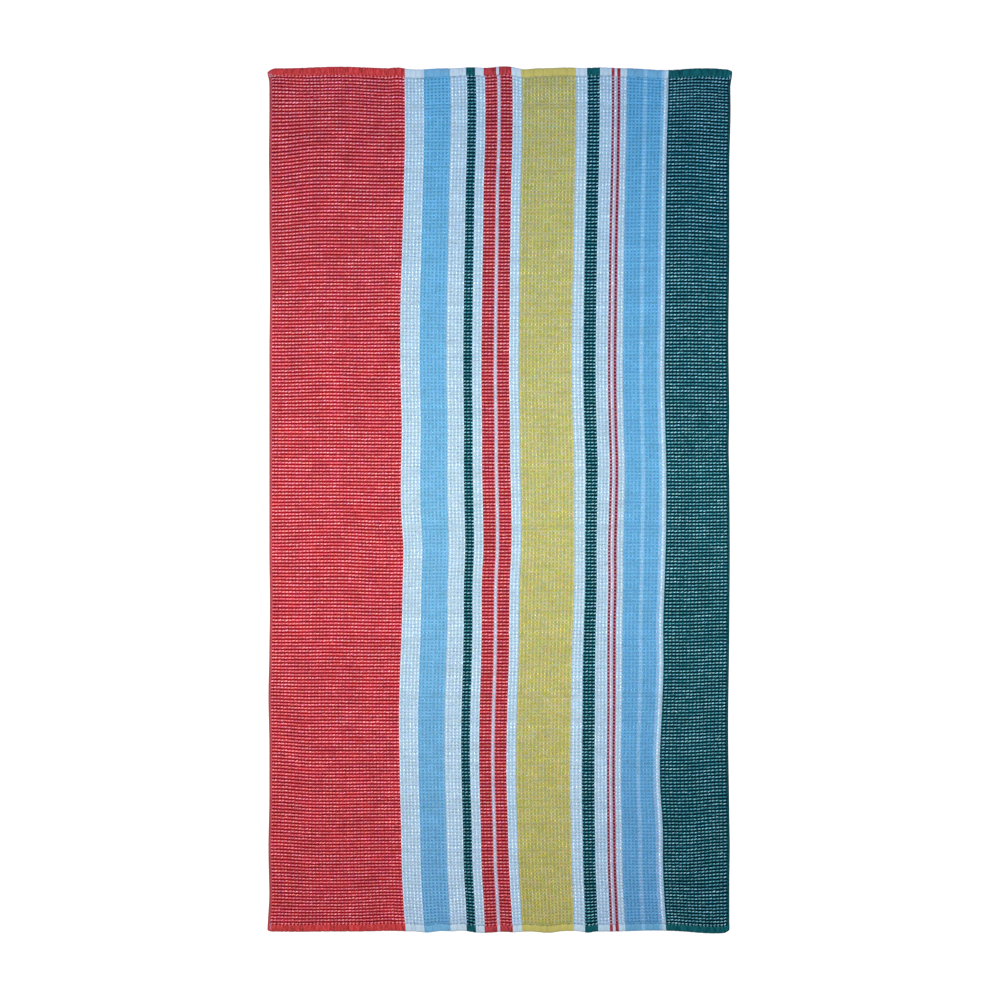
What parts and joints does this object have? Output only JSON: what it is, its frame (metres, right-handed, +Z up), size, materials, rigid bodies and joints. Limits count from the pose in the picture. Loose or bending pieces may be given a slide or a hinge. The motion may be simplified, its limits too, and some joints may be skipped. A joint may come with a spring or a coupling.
{
  "type": "beach towel",
  "caption": "Striped woven cotton beach towel lying flat, with a folded hem at each end and a plain selvedge along each long side.",
  "frame": {"origin": "middle of the towel's outline, on the surface that it lies on", "axes": "+Y along the towel's length towards the end that is at the top in the picture, +X across it towards the teal side, +Z up out of the face that shows"},
  "size_m": [0.9116, 1.7034, 0.0079],
  "materials": {
    "striped_cotton": "woven cotton with lengthwise stripes of red, white, sky blue, citron and deep teal, matt"
  },
  "bodies": {
    "root": {"towel": "striped_cotton"}
  },
  "joints": []
}
